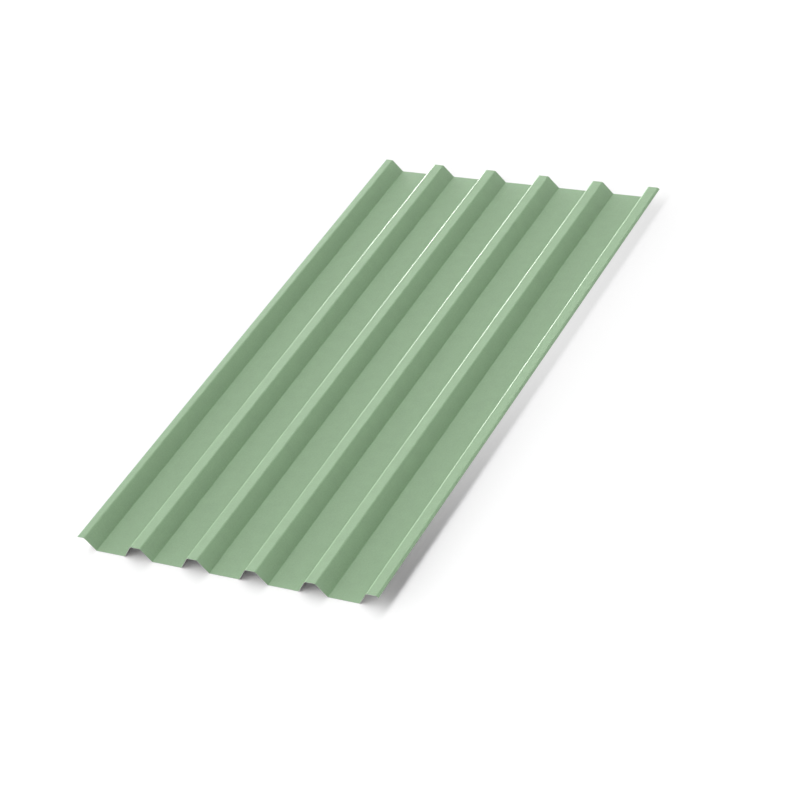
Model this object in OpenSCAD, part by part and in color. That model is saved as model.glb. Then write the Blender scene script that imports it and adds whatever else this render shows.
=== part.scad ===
// Corrugated metal sheet with a trapezoidal profile, lying with its pans down.
// One strip of coil-coated steel: flat pans, narrow raised ribs between them,
// a plain lip along the left edge that the next sheet covers, and a full crest
// with a turned-down edge along the right that covers the next sheet's lip.
// X runs across the ribs, Y along them, Z up from the undersides of the pans,
// and the origin lies under the middle of the rib pattern.

/* [Sheet] */
// Length along the ribs
sheet_length = 2000; // [600:50:4000]
// Thickness of the coated strip
sheet_thickness = 0.7; // [0.5:0.1:1.2]

/* [Ribs] */
// Flat pans across the sheet, with a rib between each two
pan_count = 5; // [3:1:7]
// Distance between the centre lines of neighbouring ribs
rib_pitch = 200; // [180:5:250]
// Height from the underside of a pan to the top of a crest
rib_height = 44; // [30:1:60]
// Width of a crest between its two bend corners
crest_width = 35; // [24:1:44]
// Sideways run of a sloping web
web_run = 31; // [24:1:48]

/* [Bends] */
// Inside radius of the bends along the crests
crest_radius = 7; // [3:0.5:9]
// Inside radius of the bends along the pans
pan_radius = 3; // [2:0.5:10]
// Straight steps that each bend is drawn with
bend_steps = 6; // [3:1:10]

/* [Side laps] */
// Width of the left lip, from its bend corner to its edge
underlap_width = 24; // [14:1:30]
// Length of the turned-down edge beyond the right crest, down the slope
turn_down_length = 7; // [7:1:20]

/* [Hidden] */
half_thickness = sheet_thickness / 2;
// Heights of the strip's middle line in a pan and in a crest
pan_level = half_thickness;
crest_level = rib_height - half_thickness;
// Direction down the right-hand web of a rib
web_fall = [web_run, pan_level - crest_level] / norm([web_run, crest_level - pan_level]);

// Middle of a rib: the left lip stands for the first one, the right crest for the last
function rib_middle(rib) = (rib - pan_count / 2) * rib_pitch;

// Bend corners of a rib on one side, -1 for left and 1 for right: x, z and inside radius
function crest_corner(rib, side) =
    [rib_middle(rib) + side * crest_width / 2, crest_level, crest_radius];
function foot_corner(rib, side) =
    [rib_middle(rib) + side * (crest_width / 2 + web_run), pan_level, pan_radius];

// The four corners of a whole rib, and the strip's two edges
function rib_corners(rib) =
    [foot_corner(rib, -1), crest_corner(rib, -1), crest_corner(rib, 1), foot_corner(rib, 1)];
function plain_edge() = crest_corner(0, 1) - [underlap_width, 0, 0];
function turned_edge() = crest_corner(pan_count, 1) + turn_down_length * [web_fall[0], web_fall[1], 0];

// The strip's middle line from the left edge to the right, corner by corner
corners = concat(
    [plain_edge(), crest_corner(0, 1), foot_corner(0, 1)],
    [for (rib = [1 : pan_count - 1], corner = rib_corners(rib)) corner],
    [foot_corner(pan_count, -1), crest_corner(pan_count, -1), crest_corner(pan_count, 1), turned_edge()]
);
last = len(corners) - 1;

// A corner's place in the section, and the slope of the flat stretch that follows it
function place(i) = [corners[i][0], corners[i][1]];
function slope_after(i) = atan2(corners[i + 1][1] - corners[i][1], corners[i + 1][0] - corners[i][0]);

// A step square to a slope, upwards where the distance is above zero
function square_to(slope, distance) = distance * [-sin(slope), cos(slope)];

// One bend as an arc about its centre, on the face that lies offset from the middle line
function bend_arc(i, offset) =
    let (
        slope = slope_after(i - 1),
        turn = slope_after(i) - slope,
        radius = sign(turn) * (corners[i][2] + half_thickness),
        setback = radius * tan(turn / 2),
        start = place(i) - setback * [cos(slope), sin(slope)],
        centre = start + square_to(slope, radius)
    )
    [for (step = [0 : bend_steps])
        centre - square_to(slope + turn * step / bend_steps, radius - offset)];

// One face of the strip from the left edge to the right
function face_line(offset) = concat(
    [place(0) + square_to(slope_after(0), offset)],
    [for (i = [1 : last - 1], point = bend_arc(i, offset)) point],
    [place(last) + square_to(slope_after(last - 1), offset)]
);

function reversed(points) = [for (i = [len(points) - 1 : -1 : 0]) points[i]];

// The rolled section, carried along the ribs
module sheet() {
    color("#93B18F")
        rotate([90, 0, 0])
            linear_extrude(height = sheet_length, center = true)
                polygon(concat(face_line(-half_thickness), reversed(face_line(half_thickness))));
}

sheet();
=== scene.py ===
import bpy
import numpy as np
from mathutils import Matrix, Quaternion, Vector


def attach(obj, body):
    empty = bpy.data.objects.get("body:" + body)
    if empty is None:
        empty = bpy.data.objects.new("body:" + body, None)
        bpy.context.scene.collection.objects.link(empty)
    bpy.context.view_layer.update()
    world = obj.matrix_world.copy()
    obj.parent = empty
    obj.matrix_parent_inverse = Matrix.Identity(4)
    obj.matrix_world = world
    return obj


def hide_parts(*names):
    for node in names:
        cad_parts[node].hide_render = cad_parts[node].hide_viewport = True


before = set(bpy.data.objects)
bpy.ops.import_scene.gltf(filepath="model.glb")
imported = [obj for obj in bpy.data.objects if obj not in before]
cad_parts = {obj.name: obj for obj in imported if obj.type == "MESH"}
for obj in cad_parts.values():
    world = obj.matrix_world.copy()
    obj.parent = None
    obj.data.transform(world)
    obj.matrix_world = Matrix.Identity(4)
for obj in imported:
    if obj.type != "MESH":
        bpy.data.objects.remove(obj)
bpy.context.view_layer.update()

scene = bpy.context.scene


# The sheet: one strip of zinc-coated steel, painted on the coil with a pale green
# top coat and a grey backing coat, then cold rolled into pans and narrow ribs.
# It lies on its pans; both ends are sheared, so the steel shows there as a bright line.

sheet_length = 2.0
sheet_thickness = 0.0007
pan_count = 5
rib_pitch = 0.2
rib_height = 0.044
crest_width = 0.035
web_run = 0.031
crest_radius = 0.007
pan_radius = 0.003
underlap_width = 0.024
turn_down_length = 0.007
half_thickness = sheet_thickness / 2


def strip_corners():
    """Bend corners of the strip's middle line from the left edge to the right, and the
    middle-line radius at each: a lip at crest level, then foot, crest, crest, foot for
    every rib one pitch apart, then a last crest whose edge turns down along its web."""
    low, high = half_thickness, rib_height - half_thickness
    half_crest, half_foot = crest_width / 2, crest_width / 2 + web_run
    middles = (np.arange(pan_count + 1) - pan_count / 2) * rib_pitch
    across = (middles[:, None] + np.array([-half_foot, -half_crest, half_crest, half_foot])).ravel()
    level = np.tile([low, high, high, low], pan_count + 1)
    radius = np.tile([pan_radius, crest_radius, crest_radius, pan_radius], pan_count + 1) + half_thickness
    # The first rib keeps only its right-hand side, and the last one has no right-hand foot.
    corners = np.stack([across, level], 1)[2:-1]
    fall = np.array([web_run, low - high]) / np.hypot(web_run, high - low)
    first = corners[0] - [underlap_width, 0]
    last = corners[-1] + turn_down_length * fall
    return np.vstack([first, corners, last]), radius[2:-1]


def along_strip(on_flats, on_bends, at_edge):
    """Flat and bend by turns, as they follow each other across the strip, then its edge."""
    by_turns = np.concatenate([on_flats[:-1], on_bends], 1).reshape(-1, 2)
    return np.concatenate([by_turns, on_flats[-1], at_edge])


def strip_line(flat_steps, bend_steps):
    """Points, upward normals and running width of the middle line. A flat runs straight
    between two bends; a bend is an arc about a centre set square to the flat before it,
    and its setback from the corner is the radius times the tangent of half the turn."""
    corners, radius = strip_corners()
    run = np.diff(corners, axis=0)
    slope = np.arctan2(run[:, 1], run[:, 0])
    turn = np.diff(slope)
    heading = np.stack([np.cos(slope), np.sin(slope)], 1)
    square = np.stack([-np.sin(slope), np.cos(slope)], 1)
    setback = (radius * np.tan(np.abs(turn) / 2))[:, None]
    begin = np.vstack([corners[:1], corners[1:-1] + setback * heading[1:]])
    end = np.vstack([corners[1:-1] - setback * heading[:-1], corners[-1:]])
    share = np.arange(flat_steps) / flat_steps
    flats = begin[:, None] + share[None, :, None] * (end - begin)[:, None]
    flat_normals = np.repeat(square[:, None], flat_steps, 1)
    to_centre = (np.sign(turn) * radius)[:, None]
    centre = end[:-1] + to_centre * square[:-1]
    angle = slope[:-1, None] + turn[:, None] * (np.arange(bend_steps) / bend_steps)
    bend_normals = np.stack([-np.sin(angle), np.cos(angle)], 2)
    bends = centre[:, None] - to_centre[:, None] * bend_normals
    points = along_strip(flats, bends, end[-1:])
    normals = along_strip(flat_normals, bend_normals, square[-1:])
    width = np.concatenate([[0.0], np.cumsum(np.hypot(*np.diff(points, axis=0).T))])
    return points, normals, width


# The rolls leave the pans slightly lifted; the waves are in radians per metre of length.
pan_lift = 0.00025
long_wave, short_wave = 7.1, 16.3


def pan_wave(across, along):
    """Lift of a pan's flat: a long and a short wave along the length, shifted from pan to
    pan and together never above one, times a bow across it that fades out at both bends."""
    pan = np.clip(np.round(across / rib_pitch), -(pan_count // 2), pan_count // 2)
    half_flat = (rib_pitch - crest_width - 2 * web_run) / 2 - pan_radius
    from_middle = (across - pan * rib_pitch) / half_flat
    bow = np.clip(1 - from_middle ** 2, 0, 1) ** 2
    slow = 0.3 * np.sin(long_wave * along + 2.4 * pan)
    quick = 0.18 * np.sin(short_wave * along - 1.7 * pan + 0.8)
    return pan_lift * bow * (0.5 + slow + quick)


line, line_normals, line_width = strip_line(flat_steps=6, bend_steps=8)
row_count, column_count = 81, len(line)
rows = np.linspace(-sheet_length / 2, sheet_length / 2, row_count)
across, along = np.meshgrid(line[:, 0], rows)
level = line[:, 1] + pan_wave(across, along)
normal_x = np.broadcast_to(line_normals[:, 0], across.shape)
normal_z = np.broadcast_to(line_normals[:, 1], across.shape)


def strip_face(offset):
    """The strip's middle surface moved square to itself by offset, row by row."""
    return np.stack([across + offset * normal_x, along, level + offset * normal_z], 2).reshape(-1, 3)


vertices = np.concatenate([strip_face(half_thickness), strip_face(-half_thickness)])
grid = np.arange(row_count * column_count).reshape(row_count, column_count)
under = grid + grid.size


def quads(a, b, c, d):
    """Four index arrays of one shape as a list of four-cornered faces."""
    return np.stack([a.ravel(), b.ravel(), c.ravel(), d.ravel()], 1)


top_faces = quads(grid[:-1, :-1], grid[:-1, 1:], grid[1:, 1:], grid[1:, :-1])
under_faces = quads(under[:-1, :-1], under[1:, :-1], under[1:, 1:], under[:-1, 1:])
near_faces = quads(under[0, :-1], under[0, 1:], grid[0, 1:], grid[0, :-1])
far_faces = quads(grid[-1, :-1], grid[-1, 1:], under[-1, 1:], under[-1, :-1])
left_faces = quads(grid[:-1, 0], grid[1:, 0], under[1:, 0], under[:-1, 0])
right_faces = quads(under[:-1, -1], under[1:, -1], grid[1:, -1], grid[:-1, -1])
edge_faces = np.concatenate([near_faces, far_faces, left_faces, right_faces])
faces = np.concatenate([top_faces, under_faces, edge_faces])

mesh = bpy.data.meshes.new("sheet_skin")
mesh.from_pydata(vertices.tolist(), [], faces.tolist())
coat_of_face = np.repeat([0, 1, 2], [len(top_faces), len(under_faces), len(edge_faces)])
mesh.polygons.foreach_set("material_index", coat_of_face.astype(np.int32))
mesh.polygons.foreach_set("use_smooth", np.ones(len(faces), bool))

# Every corner of a face takes the rolled section's own normal, so the flats stay flat
# right up to the bends and the sheared edges stay crisp.
section_normals = np.stack([normal_x, np.zeros_like(normal_x), normal_z], 2).reshape(-1, 3)
down_turn = [line_normals[-1, 1], 0, -line_normals[-1, 0]]
edge_normals = np.repeat(
    [[0, -1, 0], [0, 1, 0], [-1, 0, 0], down_turn],
    [len(near_faces), len(far_faces), len(left_faces), len(right_faces)],
    axis=0,
)
corner_normals = np.concatenate(
    [
        section_normals[top_faces].reshape(-1, 3),
        -section_normals[under_faces - grid.size].reshape(-1, 3),
        np.repeat(edge_normals, 4, axis=0),
    ]
)
mesh.normals_split_custom_set(corner_normals.tolist())

# The strip's own map, in metres: running width across the coil, and length along it.
strip_map = mesh.uv_layers.new(name="strip")
flat_map = np.stack([np.broadcast_to(line_width, across.shape), along], 2).reshape(-1, 2)
strip_map.data.foreach_set("uv", np.concatenate([flat_map, flat_map])[faces].ravel().astype(np.float32))
mesh.validate()
sheet = bpy.data.objects.new("sheet_skin", mesh)
scene.collection.objects.link(sheet)


class Value:
    """What a node gives out. Arithmetic on a number adds the Math nodes that work it out."""

    def __init__(self, finish, socket):
        self.finish = finish
        self.socket = socket

    def math(self, operation, first, second):
        return self.finish.node(
            "ShaderNodeMath", {"operation": operation}, {"Value": first, "Value_001": second}
        )

    def __add__(self, other):
        return self.math("ADD", self, other)

    def __radd__(self, other):
        return self.math("ADD", other, self)

    def __sub__(self, other):
        return self.math("SUBTRACT", self, other)

    def __rsub__(self, other):
        return self.math("SUBTRACT", other, self)

    def __mul__(self, other):
        return self.math("MULTIPLY", self, other)

    def __rmul__(self, other):
        return self.math("MULTIPLY", other, self)

    def __truediv__(self, other):
        return self.math("DIVIDE", self, other)

    def __rtruediv__(self, other):
        return self.math("DIVIDE", other, self)

    def __pow__(self, other):
        return self.math("POWER", self, other)

    def __rpow__(self, other):
        return self.math("POWER", other, self)

    def above_zero(self):
        return self.math("MAXIMUM", self, 0.0)


class Finish:
    """A node tree that is filled node by node: type, settings, then sockets."""

    def __init__(self, tree):
        self.tree = tree
        tree.nodes.clear()

    def node(self, kind, settings=None, sockets=None, out=None):
        """Add a node, and give back the output that out names, or else its first one."""
        node = self.tree.nodes.new(kind)
        for name, value in (settings or {}).items():
            setattr(node, name, value)
        inputs = {socket.identifier: socket for socket in node.inputs}
        for name, value in (sockets or {}).items():
            if isinstance(value, Value):
                self.tree.links.new(value.socket, inputs[name])
            else:
                inputs[name].default_value = value
        outputs = {socket.identifier: socket for socket in node.outputs}
        return Value(self, outputs[out or next(iter(outputs))]) if outputs else None

    def noise(self, vector, scale, detail=2.0, roughness=0.5):
        return self.node(
            "ShaderNodeTexNoise",
            {"noise_dimensions": "3D"},
            {"Vector": vector, "Scale": scale, "Detail": detail, "Roughness": roughness},
        )

    def mix(self, share, first, second):
        return self.node(
            "ShaderNodeMix",
            {"data_type": "RGBA"},
            {"Factor_Float": share, "A_Color": first, "B_Color": second},
            out="Result_Color",
        )


def new_finish(name):
    """A material, and its node tree emptied to be filled."""
    material = bpy.data.materials.new(name)
    material.use_nodes = True
    return material, Finish(material.node_tree)


# Top coat: satin polyester in pale green. Curing leaves a fine orange peel and a faint
# cloudiness, and the rolls leave hair-thin streaks along the length.
green, green_deep = (0.318, 0.490, 0.292, 1.0), (0.253, 0.389, 0.232, 1.0)
top_coat, paint = new_finish("pale_green_top_coat")
strip = paint.node("ShaderNodeUVMap", {"uv_map": "strip"})
clouds = paint.noise(strip, scale=26.0, detail=3.0, roughness=0.55)
speckle = paint.noise(strip, scale=190.0, detail=3.0, roughness=0.7)
drawn_out = paint.node("ShaderNodeMapping", {}, {"Vector": strip, "Scale": (310.0, 1.4, 1.0)})
streaks = paint.noise(drawn_out, scale=1.0)
peel = paint.noise(strip, scale=780.0, detail=1.0)
bumped = paint.node("ShaderNodeBump", {}, {"Strength": 0.25, "Distance": 0.00004, "Height": peel})
# The patterns average about a half each, and so does the share of the paler green.
paler_green = 0.7 * clouds + 1.3 * speckle + 0.3 * streaks - 0.65
coat = paint.node(
    "ShaderNodeBsdfPrincipled",
    {},
    {
        "Base Color": paint.mix(paler_green, green_deep, green),
        "Roughness": 0.29 + 0.08 * streaks + 0.06 * clouds,
        "Normal": bumped,
    },
)
paint.node("ShaderNodeOutputMaterial", {}, {"Surface": coat})

# Backing coat: a thin matt grey lacquer that covers the zinc unevenly, so a trace of its
# spangle shows through.
grey, grey_thin = (0.30, 0.30, 0.285, 1.0), (0.25, 0.253, 0.245, 1.0)
back_coat, lacquer = new_finish("grey_backing_coat")
strip = lacquer.node("ShaderNodeUVMap", {"uv_map": "strip"})
spangle = lacquer.node("ShaderNodeTexVoronoi", {"feature": "F1"}, {"Vector": strip, "Scale": 120.0})
cover = lacquer.noise(strip, scale=14.0, detail=3.0)
backing = lacquer.node(
    "ShaderNodeBsdfPrincipled",
    {},
    {
        "Base Color": lacquer.mix(0.6 * cover + 0.4 * spangle, grey_thin, grey),
        "Roughness": 0.50 + 0.12 * cover,
        "IOR": 1.48,
    },
)
lacquer.node("ShaderNodeOutputMaterial", {}, {"Surface": backing})

# Sheared edge: bright steel between two films of zinc, scored by the blade.
steel_bright, steel_scored = (0.62, 0.63, 0.63, 1.0), (0.42, 0.43, 0.43, 1.0)
bare_edge, shear = new_finish("sheared_steel_edge")
strip = shear.node("ShaderNodeUVMap", {"uv_map": "strip"})
scores = shear.noise(strip, scale=900.0)
steel = shear.node(
    "ShaderNodeBsdfPrincipled",
    {},
    {
        "Base Color": shear.mix(scores, steel_scored, steel_bright),
        "Roughness": 0.35 + 0.25 * scores,
        "Metallic": 0.9,
    },
)
shear.node("ShaderNodeOutputMaterial", {}, {"Surface": steel})

for material in (top_coat, back_coat, bare_edge):
    mesh.materials.append(material)
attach(sheet, "root")
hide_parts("sheet")


# The floor: a matt white studio floor, a hair under the pans. It lights the sheet as white
# paint does, and shows paler than that, with a painted glow that grows towards the far side
# and lightens the sheet's shadow there, so that it reads as white and still holds the shadow.

floor_reach, floor_level = 40.0, -0.0004
floor_corners = [
    (-floor_reach, -floor_reach, floor_level),
    (floor_reach, -floor_reach, floor_level),
    (floor_reach, floor_reach, floor_level),
    (-floor_reach, floor_reach, floor_level),
]
floor_mesh = bpy.data.meshes.new("floor")
floor_mesh.from_pydata(floor_corners, [], [(0, 1, 2, 3)])
floor = bpy.data.objects.new("floor", floor_mesh)
scene.collection.objects.link(floor)


def backdrop_ray(finish):
    """One on a ray that shows the backdrop and zero on a ray that gathers light: the sum of
    the flags for a ray from the camera, off a glossy surface and through glass."""
    seen = finish.node("ShaderNodeLightPath", out="Is Camera Ray")
    mirrored = finish.node("ShaderNodeLightPath", out="Is Glossy Ray")
    through = finish.node("ShaderNodeLightPath", out="Is Transmission Ray")
    return seen + mirrored + through


def blended(finish, share, first, second):
    """The first surface or light where share is zero, and the second where it is one."""
    return finish.node("ShaderNodeMixShader", {}, {"Fac": share, "Shader": first, "Shader_001": second})


lighting_white, shown_white = (0.80, 0.80, 0.80, 1.0), (1.0, 1.0, 1.0, 1.0)
floor_paint, ground = new_finish("white_floor")
on_show = backdrop_ray(ground)
lighting = ground.node("ShaderNodeBsdfDiffuse", {}, {"Color": lighting_white})
showing = ground.node("ShaderNodeBsdfDiffuse", {}, {"Color": shown_white})
matt = blended(ground, on_show, lighting, showing)
# Painted glow: white light given off by the floor itself, shown only on rays that show the backdrop, in a
# share that is none at the near end and grows towards the far side.
painted_glow = ground.node("ShaderNodeEmission", {}, {"Color": shown_white, "Strength": 1.0})
floor_place = ground.node("ShaderNodeTexCoord", out="Object")
away = ground.node("ShaderNodeSeparateXYZ", {}, {"Vector": floor_place}, out="Y")
painted_glow_share = ground.node(
    "ShaderNodeMapRange",
    {"interpolation_type": "SMOOTHSTEP"},
    {"Value": away, "From Min": -1.1, "From Max": 0.3, "To Min": 0.0, "To Max": 0.7},
)
surface = blended(ground, painted_glow_share * on_show, matt, painted_glow)
ground.node("ShaderNodeOutputMaterial", {}, {"Surface": surface})
floor_mesh.materials.append(floor_paint)


# Light: a white studio lit across the ribs by long softboxes. A high one on the left is the
# main light, a low one there picks out the crests and a weaker low one lifts the right-hand
# webs. A small lamp low at the far left makes the left-hand bends of the crests glint.

world = bpy.data.worlds.new("studio")
world.use_nodes = True
scene.world = world
room = Finish(world.node_tree)
direction = room.node("ShaderNodeTexCoord", out="Generated")
to_right = room.node("ShaderNodeSeparateXYZ", {}, {"Vector": direction}, out="X")
upward = room.node("ShaderNodeSeparateXYZ", {}, {"Vector": direction}, out="Z")
# Place of a light across the ribs: -1 at the left horizon, 0 overhead, 1 at the right horizon.
side = to_right / (to_right * to_right + upward * upward) ** 0.5
leftward, rightward = (-1 * side).above_zero(), side.above_zero()
box_middle, box_half_width = -0.5, 0.25
from_middle = (side - box_middle) / box_half_width
high_left = 4.6 * (1 - from_middle * from_middle).above_zero() ** 2
# A power of the place gathers a low light towards its horizon.
low_left = 4.7 * leftward ** 12 + leftward ** 4
low_right = rightward ** 2 + 0.6 * rightward ** 6
level_of_light = high_left + low_left + low_right
softboxes = room.node("ShaderNodeBackground", {}, {"Color": shown_white, "Strength": level_of_light})
backdrop = room.node("ShaderNodeBackground", {}, {"Color": shown_white, "Strength": 1.0})
surroundings = blended(room, backdrop_ray(room), softboxes, backdrop)
room.node("ShaderNodeOutputWorld", {}, {"Surface": surroundings})

lamp_stand, lamp_aim = Vector((-3.5, 3.85, 0.32)), Vector((0.1, 0.3, 0.03))
glint_lamp = bpy.data.lights.new("glint_lamp", "AREA")
glint_lamp.shape = "RECTANGLE"
glint_lamp.size = 0.6
glint_lamp.size_y = 0.3
glint_lamp.energy = 85.0
lamp = bpy.data.objects.new("glint_lamp", glint_lamp)
lamp.location = lamp_stand
lamp.rotation_mode = "QUATERNION"
lamp.rotation_quaternion = (lamp_aim - lamp_stand).to_track_quat("-Z", "Y")
lamp.visible_camera = False
scene.collection.objects.link(lamp)


# The camera: a long lens on a stand high at the near right, looking down along the ribs.
# It is tipped to its right by the angle given in degrees, as the photo was taken.

camera_stand, look_at, tip = Vector((3.905, -5.2042, 4.6733)), Vector((0.1369, -0.15, 0.0)), -15.102
lens = bpy.data.cameras.new("camera")
lens.sensor_width = 36.0
lens.lens = 115.685
camera = bpy.data.objects.new("camera", lens)
camera.location = camera_stand
camera.rotation_mode = "QUATERNION"
level_view = (look_at - camera_stand).to_track_quat("-Z", "Y")
camera.rotation_quaternion = level_view @ Quaternion((0, 0, 1), np.radians(tip))
scene.collection.objects.link(camera)
scene.camera = camera
scene.view_settings.view_transform = "Standard"

bpy.context.view_layer.update()
